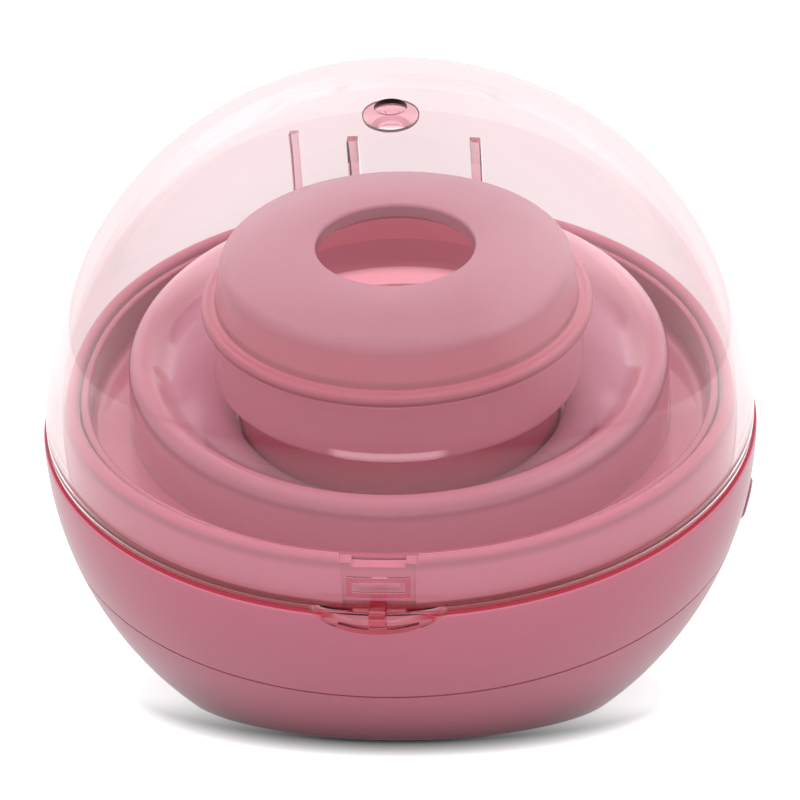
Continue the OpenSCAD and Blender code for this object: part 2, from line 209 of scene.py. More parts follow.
def block(bm, x0, x1, y0, y1, z0, z1):
    prism(bm, [(y0, z0), (y1, z0), (y1, z1), (y0, z1)], x0, x1)


def rod(bm, x0, x1, y, z, r, bevel=0.0, segs=48):
    """Adds a round bar along X."""
    prism(bm, arc(y, z, r, 0, 360 - 360 / segs, segs - 1), x0, x1, bevel)


def boolean(ob, bm, operation, place=LEANING):
    """Joins a bmesh in millimetres to ob, or cuts it away."""
    tool = finish_mesh("tool", bm, ob.data.materials[0], place)
    mod = ob.modifiers.new("boolean", "BOOLEAN")
    mod.operation = operation
    mod.solver = "EXACT"
    mod.object = tool
    me = bpy.data.meshes.new_from_object(ob.evaluated_get(bpy.context.evaluated_depsgraph_get()))
    ob.modifiers.remove(mod)
    old = ob.data
    me.name = old.name
    ob.data = me
    bpy.data.meshes.remove(old)
    bpy.data.objects.remove(tool)


def stand_for(piece, node, body):
    smooth(piece.data)
    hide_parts(node)
    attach(piece, body)


# Materials

def new_material(name):
    m = bpy.data.materials.new(name)
    m.use_nodes = True
    return m, m.node_tree, m.node_tree.nodes["Principled BSDF"]


def noise(nt, scale, detail=2.0):
    co = nt.nodes.new("ShaderNodeTexCoord")
    n = nt.nodes.new("ShaderNodeTexNoise")
    n.inputs["Scale"].default_value = scale
    n.inputs["Detail"].default_value = detail
    nt.links.new(co.outputs["Object"], n.inputs["Vector"])
    return n.outputs["Fac"]


def ramp(nt, source, low, high):
    r = nt.nodes.new("ShaderNodeValToRGB")
    for element, position, colour in zip(r.color_ramp.elements, (0.35, 0.65), (low, high)):
        element.position = position
        element.color = colour
    nt.links.new(source, r.inputs["Fac"])
    return r.outputs["Color"]


def spread(nt, source, low, high, start=0.0, end=1.0, soft=False):
    """Maps the stretch of source from start to end to low and high, with or without soft ends."""
    r = nt.nodes.new("ShaderNodeMapRange")
    if soft:
        r.interpolation_type = "SMOOTHSTEP"
    r.inputs["From Min"].default_value = start
    r.inputs["From Max"].default_value = end
    r.inputs["To Min"].default_value = low
    r.inputs["To Max"].default_value = high
    nt.links.new(source, r.inputs["Value"])
    return r.outputs["Result"]


def maths(nt, operation, *values):
    """One arithmetic node, with a socket or a number for each of its inputs."""
    n = nt.nodes.new("ShaderNodeMath")
    n.operation = operation
    for socket, value in zip(n.inputs, values):
        if isinstance(value, (int, float)):
            socket.default_value = value
        else:
            nt.links.new(value, socket)
    return n.outputs[0]


def mixed(nt, share, a, b):
    """Passes from the colour of socket a to b, a socket or a colour, as share goes from 0 to 1."""
    mix = nt.nodes.new("ShaderNodeMix")
    mix.data_type = "RGBA"
    nt.links.new(share, mix.inputs["Factor"])
    nt.links.new(a, mix.inputs["A"])
    if isinstance(b, tuple):
        mix.inputs["B"].default_value = (*b, 1)
    else:
        nt.links.new(b, mix.inputs["B"])
    return mix.outputs["Result"]


def relief(nt, source, strength, depth):
    bump = nt.nodes.new("ShaderNodeBump")
    bump.inputs["Strength"].default_value = strength
    bump.inputs["Distance"].default_value = depth * MM
    nt.links.new(source, bump.inputs["Height"])
    return bump.outputs["Normal"]


def shade(col, k):
    return (min(1, col[0] * k), min(1, col[1] * k), min(1, col[2] * k), 1)


def leaning_place(nt, lean=LEAN, origin_z=0.0):
    """Place in a frame that leans forward round a point of the ball's axis."""
    co = nt.nodes.new("ShaderNodeTexCoord")
    turn = nt.nodes.new("ShaderNodeMapping")
    turn.vector_type = "TEXTURE"
    turn.inputs["Location"].default_value = LEANING @ Vector((0, 0, origin_z * MM))
    turn.inputs["Rotation"].default_value = (lean, 0, 0)
    nt.links.new(co.outputs["Object"], turn.inputs["Vector"])
    return turn.outputs["Vector"]


def zoned(nt, colour, zone):
    """Passes from a colour to another one, a socket or a plain colour, in the leaning frame.
    A zone holds the measure, "Y", "Z" or the radius "R", where the change starts and ends in
    millimetres, the other colour, and for a piece with its own lean also that and its pivot's height."""
    measure, start, end, other, *pose = zone
    place = leaning_place(nt, *pose)
    if measure == "R":
        flat = nt.nodes.new("ShaderNodeVectorMath")
        flat.operation = "MULTIPLY"
        flat.inputs[1].default_value = (1, 1, 0)
        nt.links.new(place, flat.inputs[0])
        far = nt.nodes.new("ShaderNodeVectorMath")
        far.operation = "LENGTH"
        nt.links.new(flat.outputs["Vector"], far.inputs[0])
        value = far.outputs["Value"]
    else:
        split = nt.nodes.new("ShaderNodeSeparateXYZ")
        nt.links.new(place, split.inputs["Vector"])
        value = split.outputs[measure]
    return mixed(nt, spread(nt, value, 0.0, 1.0, start * MM, end * MM, soft=True), colour, other)


def ray_switch(nt, rays, low, high):
    """A value that is high for the named rays and low for all others."""
    path = nt.nodes.new("ShaderNodeLightPath")
    total = path.outputs[rays[0]]
    for ray in rays[1:]:
        total = maths(nt, "MAXIMUM", total, path.outputs[ray])
    return spread(nt, total, low, high)


def let_light_through(nt, b, colour, share):
    """Lets a share of the light for what lies behind pass straight through."""
    through = nt.nodes.new("ShaderNodeBsdfTransparent")
    through.inputs["Color"].default_value = (*colour, 1)
    mix = nt.nodes.new("ShaderNodeMixShader")
    nt.links.new(ray_switch(nt, ["Is Shadow Ray", "Is Diffuse Ray"], 0.0, share), mix.inputs["Fac"])
    nt.links.new(b.outputs["BSDF"], mix.inputs[1])
    nt.links.new(through.outputs["BSDF"], mix.inputs[2])
    nt.links.new(mix.outputs["Shader"], nt.nodes["Material Output"].inputs["Surface"])


def plastic(name, col, rough=0.4, grain=4500, depth=0.004, mottle=0.03, spec=0.5, glow=0.0,
            through=None, sheen=0.0, zones=()):
    """Moulded plastic: a faint drift of colour, a fine grain in the gloss and, where depth is given,
    in the relief, and other colours in the zones, which mostly paint light and shade."""
    m, nt, b = new_material(name)
    drift_and_painted_light = ramp(nt, noise(nt, 45, 3), shade(col, 1 - mottle), shade(col, 1 + mottle))
    # the zones mostly paint light and shade into the colour, as lighter and darker copies of it
    for zone in zones:
        drift_and_painted_light = zoned(nt, drift_and_painted_light, zone)
    nt.links.new(drift_and_painted_light, b.inputs["Base Color"])
    fine = noise(nt, grain)
    nt.links.new(spread(nt, fine, rough * 0.9, rough * 1.1), b.inputs["Roughness"])
    if depth:
        nt.links.new(relief(nt, fine, 0.5, depth), b.inputs["Normal"])
    b.inputs["Specular IOR Level"].default_value = spec
    b.inputs["Sheen Weight"].default_value = sheen
    b.inputs["Sheen Roughness"].default_value = 0.3
    if glow:
        b.inputs["Subsurface Weight"].default_value = glow
        b.inputs["Subsurface Radius"].default_value = (1.0, 0.35, 0.45)
        b.inputs["Subsurface Scale"].default_value = 0.003
    if through:
        let_light_through(nt, b, (1.0, 0.90, 0.92), through)
    return m


def metal(name, col, rough=0.3, grain=900):
    m, nt, b = new_material(name)
    fine = noise(nt, grain, 4)
    nt.links.new(ramp(nt, fine, shade(col, 0.9), shade(col, 1.06)), b.inputs["Base Color"])
    nt.links.new(spread(nt, fine, rough - 0.08, rough + 0.1), b.inputs["Roughness"])
    b.inputs["Metallic"].default_value = 1.0
    return m


RIM_TINT = (0.50, 0.06, 0.09)
TAB_TINT = (0.86, 0.30, 0.37)
RIB_TINT = (0.74, 0.40, 0.47)


def dome_tints(nt, clear):
    """Darkens the clear colour where the dome's plastic is seen thicker."""
    co = nt.nodes.new("ShaderNodeTexCoord")
    away = nt.nodes.new("ShaderNodeVectorMath")
    away.operation = "DISTANCE"
    away.inputs[1].default_value = LEANING @ Vector((0, 0, DOME_Z * MM))
    nt.links.new(co.outputs["Object"], away.inputs[0])
    # the rim is seen along the wall, and so is deep red
    rim = ramp(nt, noise(nt, 30), shade(RIM_TINT, 1), shade(RIM_TINT, 1.04))
    clear = zoned(nt, rim, ("Z", RIM_Z + 0.35, RIM_Z + 0.65, clear))
    # what stands out from the dome is darker: the tab at the front, the ribs at the back, the frame inside
    tab = ramp(nt, noise(nt, 30), shade(TAB_TINT, 1), shade(TAB_TINT, 0.99))
    proud = zoned(nt, tab, ("Y", -30, 0, RIB_TINT))
    for start, end, tinted in ((DOME_R + 0.1, DOME_R + 0.5, proud), (DOME_IN - 0.12, DOME_IN - 0.22, tab)):
        share = spread(nt, away.outputs["Value"], 0.0, 1.0, start * MM, end * MM)
        clear = mixed(nt, share, clear, tinted)
    return clear


def clear_plastic(name, tint, ior=1.5, absorb=None, density=0.0, tints=None):
    """Polished clear plastic. Light for what lies under it passes straight through.
    Its body takes up absorb, so that edges and long ways through it are darker."""
    m, nt, b = new_material(name)
    b.inputs["Transmission Weight"].default_value = 1.0
    b.inputs["IOR"].default_value = ior
    b.inputs["Roughness"].default_value = 0.0
    clear = ramp(nt, noise(nt, 30), shade(tint, 1), shade(tint, 0.995))
    if tints:
        clear = tints(nt, clear)
    nt.links.new(clear, b.inputs["Base Color"])
    nt.links.new(relief(nt, noise(nt, 60, 1), 0.3, 0.01), b.inputs["Normal"])
    let_light_through(nt, b, (1.0, 1.0, 1.0), 1.0)
    if absorb:
        body = nt.nodes.new("ShaderNodeVolumeAbsorption")
        body.inputs["Color"].default_value = (*absorb, 1)
        body.inputs["Density"].default_value = density
        nt.links.new(body.outputs["Volume"], nt.nodes["Material Output"].inputs["Volume"])
    return m


# Where a colour changes is an edge, a bend or the front of a piece, in the leaning frame. Most of these
# changes are painted light and shade. The base has painted shade, dark red, on the ledge in the gap under
# the dome's rim, painted light on the neck inside the dome, and is duller round its top. The dish has its
# own lean, and its hollow has painted light, lighter in front.

DISH_TURN = LEAN + DISH_LEAN
DISH_FRONT = DISH_TURN - math.radians(12)

MATERIALS = {
    # painted shade: the dark red ledge under the dome's rim; painted light: the lighter neck inside the dome
    "base": plastic("base_plastic", (0.570, 0.162, 0.232), 0.42, 5200, 0.003, 0.015, sheen=0.7,
                    zones=[("Z", -SEAM_GAP - 0.04, -SEAM_GAP, (0.34, 0.030, 0.055)),
                           ("Z", 0.45, 0.7, (0.64, 0.225, 0.315)),
                           ("Z", NECK_Z - 2.0, NECK_Z - 0.8, (0.47, 0.160, 0.220))]),
    # painted shade: darker up the tray's wall, in the trough inside the neck
    "tray": plastic("tray_plastic", (0.50, 0.130, 0.195), 0.07, 3000, 0, 0.02,
                    zones=[("Z", TRAY_Z + 0.4, TRAY_Z + 1.4, (0.36, 0.080, 0.125))]),
    # painted light and shade: paler inside the rim, darker over the top of the rim, lighter in the front of
    # the hollow
    "dish": plastic("dish_plastic", (0.50, 0.270, 0.345), 0.07, 3000, 0, 0.02, spec=0.7,
                    zones=[("R", DISH_RIM_R - 0.5, DISH_RIM_R + 0.5, (0.62, 0.220, 0.310)),
                           ("Z", -1.4, 0.2, (0.39, 0.130, 0.180), DISH_TURN, DISH_PIVOT_Z),
                           ("Z", 1.5, 5.0, (0.62, 0.370, 0.420), DISH_FRONT, DISH_PIVOT_Z)]),
    "cup": plastic("cup_plastic", (0.40, 0.090, 0.130), 0.06, 3000, 0, 0.03),
    # painted light and shade: pale on the plug inside, darker on the waist and lip, lighter up the side,
    # darker over the crown's top
    "cap": plastic("cap_plastic", (0.72, 0.260, 0.320), 0.24, 5600, 0.002, 0.02, glow=0.08, through=0.95,
                   zones=[("R", 21.3, 21.5, (0.41, 0.135, 0.172)), ("Z", 17.7, 18.6, (0.58, 0.210, 0.258)),
                          ("Z", 20.5, 23.3, (0.40, 0.190, 0.235))]),
    # painted highlights: pale at the front of the foot, and paler on the floor and the foot of the inner wall
    "ring": plastic("ring_plastic", (0.92, 0.620, 0.680), 0.06, 3000, 0, 0.02, spec=0.7, through=0.9,
                    zones=[("Y", -22.2, -21.6, (0.57, 0.230, 0.290)),
                           ("R", 21.6, 21.4, (0.80, 0.480, 0.540)),
                           ("Z", 8.6, 8.9, (0.57, 0.230, 0.290))]),
    "button": plastic("button_plastic", (0.42, 0.120, 0.180), 0.2, 3000, 0.002, 0.02),
    "dome": clear_plastic("dome_plastic", (0.96, 1.0, 1.0), 1.5, (0.93, 0.0, 0.12), 55, dome_tints),
    "rubber": plastic("foot_rubber", (0.16, 0.065, 0.085), 0.75, 3500, 0.03, 0.06),
    "seal": plastic("seal_rubber", (0.03, 0.03, 0.035), 0.7, 3500, 0.03, 0.06),
    "board": plastic("board_mask", (0.02, 0.12, 0.05), 0.35, 1800, 0.01, 0.15),
    "lamp_board": plastic("lamp_board_mask", (0.45, 0.15, 0.21), 0.35, 1800, 0.01, 0.05),
    "chip": plastic("chip_case", (0.015, 0.015, 0.017), 0.55, 2600, 0.02, 0.1),
    "ceramic": plastic("lamp_ceramic", (0.82, 0.79, 0.68), 0.5, 2600, 0.01, 0.04),
    "cable": plastic("cable_film", (0.55, 0.42, 0.18), 0.3, 900, 0.01, 0.08),
    "white": plastic("white_plastic", (0.68, 0.68, 0.65), 0.5, 2600, 0.01, 0.03),
    "pipe": plastic("light_pipe", (0.80, 0.84, 0.78), 0.15, 2600, 0.002, 0.02),
    "steel": metal("steel", (0.62, 0.62, 0.64), 0.25),
    "foil": metal("cell_foil", (0.70, 0.72, 0.76), 0.35, 260),
    "nickel": metal("nickel", (0.55, 0.54, 0.52), 0.2),
    "glass": clear_plastic("window_glass", (0.97, 0.98, 1.0), 1.46),
}


# Base shells

def neck_r(z):
    """Radius of the neck at height z: it follows the inside of the dome."""
    return math.sqrt((DOME_IN - NECK_GAP) ** 2 - (z - DOME_Z) ** 2)


def upper_profile():
    """Shell on the ball, ledge under the dome's rim, neck, flange, and the lip over the parting line."""
    roll = 0.85
    roll_z = NECK_Z - roll
    flange_z = TRAY_Z - TRAY_T
    edge_r = math.sqrt(BALL_R ** 2 - PARTING_Z ** 2)
    points = [(edge_r - 0.5, PARTING_Z)] + ball_arc(BALL_R, PARTING_Z + GROOVE, -0.5)
    points += [(BALL_R - 0.06, -SEAM_GAP, 0.2), (neck_r(-SEAM_GAP), -SEAM_GAP, 0.15)]
    points += [(neck_r(z), z) for z in (0.8, 1.8, 2.8, 3.8, 4.7)]
    points += arc(neck_r(roll_z) - roll, roll_z, roll, 0, 180, 16)
    points += [(TRAY_R, flange_z), (FLANGE_R, flange_z, 0.2), (FLANGE_R, LEDGE_Z, 0.2)]
    points += [(INNER_R - 0.1, LEDGE_Z, 0.6)]
    points += ball_arc(INNER_R, -3.2, -10.3)
    points += [(39.5, -11), (38.6, -15.1, 0.2), (39.4, -15.1, 0.2), (40.05, PARTING_Z)]
    return rounded(points)


def hinge_bracket(root_y):
    """Side view of a bracket with its knuckle, rooted in the wall at root_y."""
    knuckle = arc(PIN_Y, PIN_Z, KNUCKLE_R, -43, 186, 30)
    return [(root_y, -6.5), (44.3, -6.5)] + knuckle + [(44.75, -0.26), (root_y, -0.26)]


def raise_back(ob, low, high, rise):
    """Lifts what stands above the height low, fully from the height high on, and more to the back."""
    inverse = LEANING.inverted()
    start, full = -0.15 * BALL_R, 0.4 * BALL_R
    for v in ob.data.vertices:
        p = inverse @ v.co / MM
        up = min(max((p.z - low) / (high - low), 0), 1)
        back = min(max((p.y - start) / (full - start), 0), 1)
        soft = back * back * (3 - 2 * back)
        v.co += LEANING.to_3x3() @ Vector((0, 0, rise * up * soft * MM))


def build_upper_shell():
    ob = lathe("base_upper", upper_profile(), MATERIALS["base"], segs=FINE)
    raise_back(ob, 4.0, 5.5, NECK_RISE)
    # stepped finger notch in the neck's rim, recess for the catch frame, hole for the button
    above = NECK_Z + 2.6
    for half, y0, y1, z0 in ((4.65, -43, -37, NECK_Z - 0.6), (3.2, -43, -37, NECK_Z - 1.2),
                             (4.3, -44.2, -41.2, -0.1)):
        cut = bmesh.new()
        block(cut, -half, half, y0, y1, z0, above)
        boolean(ob, cut, "DIFFERENCE")
    cut = bmesh.new()
    rod(cut, 36, 50, 0, BUTTON_H, BUTTON_R + 0.1, segs=96)
    boolean(ob, cut, "DIFFERENCE", UPRIGHT)
    outer = RIB_X + LUG_HALF + LUG_GAP
    inner = RIB_X - LUG_HALF - LUG_GAP
    side_root, middle_root = 41.4, 43
    for x0, x1, root_y in ((-HINGE_END, -outer, side_root), (-inner, inner, middle_root),
                           (outer, HINGE_END, side_root)):
        bracket = bmesh.new()
        prism(bracket, hinge_bracket(root_y), x0, x1, 0.2)
        boolean(ob, bracket, "UNION")
    bead = bmesh.new()
    prism(bead, rounded([(-41.4, 2.3, 0.25), (-40.4, 2.3), (-40.4, 3.3), (-41.4, 3.3, 0.25)], 4), -2.4, 2.4)
    boolean(ob, bead, "UNION")
    return ob


def build_lower_shell():
    """Rings that turn from the leaning parting line to the level flat, every point on the ball."""
    centre = Vector((0, 0, BALL_H))
    lean = Matrix.Rotation(LEAN, 3, "X")
    flat_z = FOOT_GAP - BALL_H
    floor_z = flat_z + 2.4
    foot_z = FOOT_H - BALL_H
    turns = [2 * math.pi * i / FINE for i in range(FINE)]

    def ring(r, z, turned=False):
        points = [Vector((r * math.cos(a), r * math.sin(a), z)) for a in turns]
        return [lean @ p for p in points] if turned else points

    def on_ball(r, z, turned=False):
        return ring(math.sqrt(r * r - z * z), z, turned)

    def between(r, top, bottom, steps):
        """Rings on a ball of radius r, each point on the great circle from top to bottom."""
        out = []
        for k in range(steps + 1):
            t = k / steps
            row = []
            for p, q in zip(top, bottom):
                angle = p.angle(q)
                row.append((p * math.sin((1 - t) * angle) + q * math.sin(t * angle)).normalized() * r)
            out.append(row)
        return out

    edge_r = math.sqrt(BALL_R ** 2 - flat_z ** 2)
    outer = between(BALL_R, on_ball(BALL_R, PARTING_Z - GROOVE, True), on_ball(BALL_R, flat_z + 0.28), 40)
    inner = between(INNER_R, on_ball(INNER_R, floor_z), on_ball(INNER_R, PARTING_Z, True), 16)
    rings = [ring(math.sqrt(BALL_R ** 2 - PARTING_Z ** 2) - 0.5, PARTING_Z, True)] + outer
    rings += [ring(edge_r - 0.12, flat_z + 0.10), ring(edge_r - 0.42, flat_z), ring(FOOT_R, flat_z)]
    rings += [ring(FOOT_R, foot_z), [Vector((0, 0, foot_z))], [Vector((0, 0, floor_z))]] + inner
    bm = bmesh.new()
    skin(bm, [[bm.verts.new(p + centre) for p in row] for row in rings], loop=True)
    ob = finish_mesh("base_lower", bm, MATERIALS["base"], UPRIGHT)
    root, post_r, post_top, board_post_r = 2.5, 3.4, 8, 2.2
    posts = bmesh.new()
    for sx in (-1, 1):
        for sy in (-1, 1):
            x, y = sx * POST[0], sy * POST[1]
            revolve(posts, [(0, root), (post_r, root), (post_r, post_top), (0, post_top)], 40, (x, y))
            x, y = sx * BOARD_SCREW[0], sy * BOARD_SCREW[1] + BOARD_SCREW[2]
            side = [(0, root), (board_post_r, root), (board_post_r, BOARD_Z), (0, BOARD_Z)]
            revolve(posts, side, 32, (x, y))
    boolean(ob, posts, "UNION", UPRIGHT)
    # mouth of the charging socket, and the hole of the charge light
    inside, outside = 30, 50
    port_z, port_h, port_w = 17.2, 4, 10
    low, high = port_z - port_h / 2, port_z + port_h / 2
    port = bmesh.new()
    mouth = [(inside, low), (outside, low), (outside, high), (inside, high)]
    prism(port, mouth, -port_w / 2, port_w / 2)
    boolean(ob, port, "DIFFERENCE", UPRIGHT)
    light_x, light_r = 9, 1
    light = bmesh.new()
    revolve(light, [(0, inside), (light_r, inside), (light_r, outside), (0, outside)], 48, (light_x, -port_z))
    boolean(ob, light, "DIFFERENCE", Matrix.Rotation(math.radians(-90), 4, "X"))
    return ob


upper = build_upper_shell()
stand_for(upper, "upper_shell", "base")

lower = build_lower_shell()
stand_for(lower, "lower_shell", "base")


# Tray, dish and cup

def build_tray():
    wall_r = TRAY_R - 1.1
    low = TRAY_Z - TRAY_T
    top = NECK_Z - 0.9
    ob = lathe("tray_floor", rounded([
        (TRAY_R - 0.04, top, 0.35), (TRAY_R - 0.04, TRAY_Z - 0.2), (wall_r, low), (18.72, low),
        (18.72, TRAY_Z), (wall_r - 0.1, TRAY_Z, 1.4), (wall_r, top, 0.35)], 8), MATERIALS["tray"])
    raise_back(ob, 3.5, 5.0, NECK_RISE)
    posts = bmesh.new()
    for sx in (-1, 1):
        for sy in (-1, 1):
            x, y = sx * POST[0], sy * POST[1]
            # height of the tray's floor over the table at this post
            z = BALL_H + y * math.tan(LEAN) + (TRAY_Z - 0.7) / math.cos(LEAN)
            revolve(posts, [(0, 8), (2.6, 8), (2.6, z), (0, z)], 32, (x, y))
    boolean(ob, posts, "UNION", UPRIGHT)
    return ob


def build_dish():
    collar = LAMP_R + 0.5
    inside = DISH_ROLL - DISH_WALL
    rim = (DISH_RIM_R, DISH_RIM_Z)
    points = [(DISH_FOOT_R, -4), (DISH_FOOT_R - 0.3, 1.2)] + arc(*rim, DISH_ROLL, 0, 132, 24)
    points += [(collar, 2.1, 0.4), (collar, -4), (collar + DISH_WALL, -4), (collar + DISH_WALL, 1.3)]
    points += arc(*rim, inside, 132, 0, 10)
    points += [(DISH_FOOT_R - DISH_WALL - 0.3, 1.2), (DISH_FOOT_R - DISH_WALL, -4)]
    pivot = Matrix.Translation((0, 0, DISH_PIVOT_Z * MM))
    place = LEANING @ pivot @ Matrix.Rotation(DISH_LEAN, 4, "X") @ pivot.inverted()
    ob = lathe("dish_ring", rounded(points), MATERIALS["dish"], place)
    below = bmesh.new()
    block(below, -60, 60, -60, 60, TRAY_Z - 30, TRAY_Z)
    boolean(ob, below, "DIFFERENCE")
    return ob


tray = build_tray()
stand_for(tray, "inner_tray", "base")

dish = build_dish()
stand_for(dish, "reflector_dish", "base")


def cup_profile():
    """Wall and rim under the ring, sloping well, seat of the window, and the underside."""
    points = [(LAMP_R, 0.6), (LAMP_R, 7.1, 0.4), (18.6, 7.1, 0.4), (17.4, 0.6, 2.0), (14.4, -5, 0.8)]
    points += [(11, -5, 0.2), (11, -6), (12.8, -6), (12.8, -7.6), (14.1, -7.6), (15.4, -6.2)]
    return rounded(points + [(18.6, -1.8), (18.6, 0.6)], 6)


cup = lathe("lamp_cup", cup_profile(), MATERIALS["cup"])
stand_for(cup, "lamp_housing", "base")


# Holder

def ring_profile():
    """Floor with its step over the lamp's wall, and the side up to the cap."""
    points = [(17.9, 7.2, 0.2), (20.5, 7.2), (20.5, 7.0, 0.1), (RING_R, 7.0, 2.0), (RING_R, 15.4, 0.25)]
    return rounded(points + [(21.0, 15.4, 0.15), (21.0, 8.1, 0.8), (17.9, 8.1, 0.2)], 10)


ring = lathe("holder_wall", ring_profile(), MATERIALS["ring"])
stand_for(ring, "holder_ring", "holder")


def cap_profile():
    """Teat hole, crown, shoulder, waist, rolled lip, and the plug inside the ring."""
    points = [(10.1, 22.05, 0.3), (9.7, 22.6, 0.2)] + arc(10.15, 23.87, 0.45, 180, 95, 8)
    points += [(13, 24.35), (14.5, 24.26), (16, 24.1), (17.4, 23.87), (18.6, 23.58), (19.5, 23.3)]
    points += arc(19.7, 21.2, 2.0, 70, 12, 14)
    points += [(21.8, 20.6), (21.95, 19.6), (22.1, 18.6), (22.2, 17.75), (22.35, 17.35), (22.7, 17.22)]
    points += arc(23.2, 16.42, 0.8, 108, -70, 14)
    points += [(23.1, 15.4, 0.2), (20.8, 15.4), (20.8, 13.5, 0.4), (19.5, 13.5, 0.3), (19.5, 19.4, 1.0)]
    return rounded(points + [(18.2, 20.8, 1.5), (14, 22.25, 1.5)])


cap = lathe("holder_crown", cap_profile(), MATERIALS["cap"])
stand_for(cap, "holder_cap", "holder")


# Dome

def dome_profile():
    """Shell from the rim to the pole and back on the inside."""
    points = [(DOME_R, RIM_Z, 0.15)] + arc(0, DOME_Z, DOME_R, 0.4, 90, 96)
    points += arc(0, DOME_Z, DOME_IN, 90, 0.4, 96) + [(DOME_IN, RIM_Z, 0.15)]
    return rounded(points)


def thumb_tab(bm):
    """Lip along the rim, boat-shaped in plan, with a rounded nose that hangs over the seam."""
    inner = 43.0
    wall = 44.2
    start = wall + 0.1
    rise = TAB_REACH - 43.4
    plan_r = ((TAB_W / 2) ** 2 + rise * rise) / (2 * rise)
    plan_y = TAB_REACH - plan_r
    half = math.asin(TAB_W / 2 / wall)
    steps = 48
    sections = []
    for i in range(steps + 1):
        a = half * (2 * i / steps - 1)
        s, k = math.sin(a), math.cos(a)
        lip = plan_y * k + math.sqrt(plan_r ** 2 - (plan_y * s) ** 2)
        lip = min(max(lip, start), TAB_REACH)
        t = (lip - wall) / (TAB_REACH - wall)
        side = [(inner, 0.12), (inner, 1.0), (start, 1.0), (start + (lip - start) * 0.6, 0.75 - 0.3 * t),
                (lip, 0.1 - 0.1 * t), (lip, -0.2 - 0.45 * t), (lip - 0.35 * t, -0.3 - 0.55 * t),
                (wall + 0.75 * t, -0.3 - 0.55 * t), (wall - 0.05 + 0.7 * t, 0.12)]
        sections.append([bm.verts.new((r * s, -r * k, z)) for r, z in side])
    skin(bm, sections)
    bm.faces.new(sections[0])
    bm.faces.new(sections[-1])


def inside_bar(bm, x0, x1, z0, z1, proud, steps=16):
    """Bar on the inside of the dome that stands proud of it, between x0, x1 and z0, z1."""
    near = DOME_IN - proud
    rows = []
    for i in range(steps + 1):
        x = x0 + (x1 - x0) * i / steps
        corners = []
        for z, r in ((z0, near), (z1, near), (z1, DOME_IN + 0.5), (z0, DOME_IN + 0.5)):
            y = -math.sqrt(r * r - x * x - (z - DOME_Z) ** 2)
            corners.append(bm.verts.new((x, y, z)))
        rows.append(corners)
    skin(bm, rows)
    bm.faces.new(rows[0])
    bm.faces.new(rows[-1])


def witness_panel(bm, half_w, z0, z1, proud):
    """Faint step that a mould insert leaves on the inside of the dome, up from behind the tab."""
    columns, rows = 12, 40
    sheets = []
    for r in (DOME_IN - proud, DOME_IN + 0.5):
        sheet = []
        for j in range(rows + 1):
            z = z0 + (z1 - z0) * j / rows
            row = []
            for i in range(columns + 1):
                x = half_w * (2 * i / columns - 1)
                row.append(bm.verts.new((x, -math.sqrt(r * r - x * x - (z - DOME_Z) ** 2), z)))
            sheet.append(row)
        for a, b in zip(sheet, sheet[1:]):
            for i in range(columns):
                bm.faces.new((a[i], a[i + 1], b[i + 1], b[i]))
        sheets.append(sheet)
    edges = []
    for sheet in sheets:
        right = [row[-1] for row in sheet[1:-1]]
        left = [row[0] for row in sheet[1:-1]]
        edges.append(sheet[0] + right + sheet[-1][::-1] + left[::-1])
    skin(bm, edges)


def rib_outline():
    """Side view of a hinge rib with its knuckle, its top slanted to follow the dome."""
    top = 18.5
    knuckle = arc(PIN_Y, PIN_Z, KNUCKLE_R, 196, 400, 28)
    upward = [(46.5, 6, 1.5), (45.4, 9.5, 2.0), (43.6, 13.5, 2.0), (40.6, top + 0.4, 0.4)]
    return [(42.6, 1), (43.4, 0.6)] + knuckle + rounded(upward + [(37.8, top - 0.4), (41.4, 8)])


def add_gate_mark(ob):
    """Gate mark a little in front of the pole: a low boss inside, a round dimple outside."""
    boss_r, boss_h = 3.35, 0.6
    low, high = DOME_IN - boss_h, DOME_IN + 0.5
    centre = Matrix.Translation((0, 0, DOME_Z * MM))
    gate = LEANING @ centre @ Matrix.Rotation(math.radians(1.8), 4, "X")
    boss = bmesh.new()
    revolve(boss, rounded([(0, low), (boss_r, low, 0.2), (boss_r, high), (0, high)]), 96)
    boolean(ob, boss, "UNION", gate)
    dimple = [(0, -0.7), (0.7, -0.66), (1.2, -0.54), (1.6, -0.36), (1.9, -0.14), (2.1, 0.06), (2.2, 1)]
    recess = bmesh.new()
    revolve(recess, [(r, DOME_R + z) for r, z in dimple + [(0, 1)]], 96)
    boolean(ob, recess, "DIFFERENCE", gate)


def add_catch_frame(ob):
    """Rectangular frame inside the front, in which the bead of the neck sits."""
    half, low, high, width = 3.7, 1.5, 4.1, 0.6
    bars = [(-half, half, low, low + width), (-half, half, high - width, high)]
    bars += [(x, x + width, low + 0.3, high - 0.3) for x in (-half, half - width)]
    for x0, x1, z0, z1 in bars:
        bar = bmesh.new()
        inside_bar(bar, x0, x1, z0, z1, proud=0.33)
        boolean(ob, bar, "UNION")


def add_guide_rib(ob):
    """Longer guide rib on the left of the hinge."""
    x, width = -16, 1.3
    out_r = math.sqrt((DOME_R + 0.9) ** 2 - x ** 2)
    in_r = math.sqrt((DOME_IN + 0.5) ** 2 - x ** 2)
    side = arc(0, DOME_Z, out_r, 8, 32, 20) + arc(0, DOME_Z, in_r, 34, 8, 20)
    guide = bmesh.new()
    prism(guide, side, x - width / 2, x + width / 2, 0.12)
    boolean(ob, guide, "UNION")


def add_magnet_boss(ob):
    """Round boss at the back with the magnet's pocket, along Y."""
    z = 4.6
    root, pocket, top = 43, 44.2, 45.6
    boss = bmesh.new()
    side = [(0, root), (1.9, root), (1.9, top, 0.2), (1.4, top), (1.4, pocket), (0, pocket)]
    revolve(boss, rounded(side), 64, (0, -z))
    boolean(ob, boss, "UNION", LEANING @ Matrix.Rotation(math.radians(-90), 4, "X"))


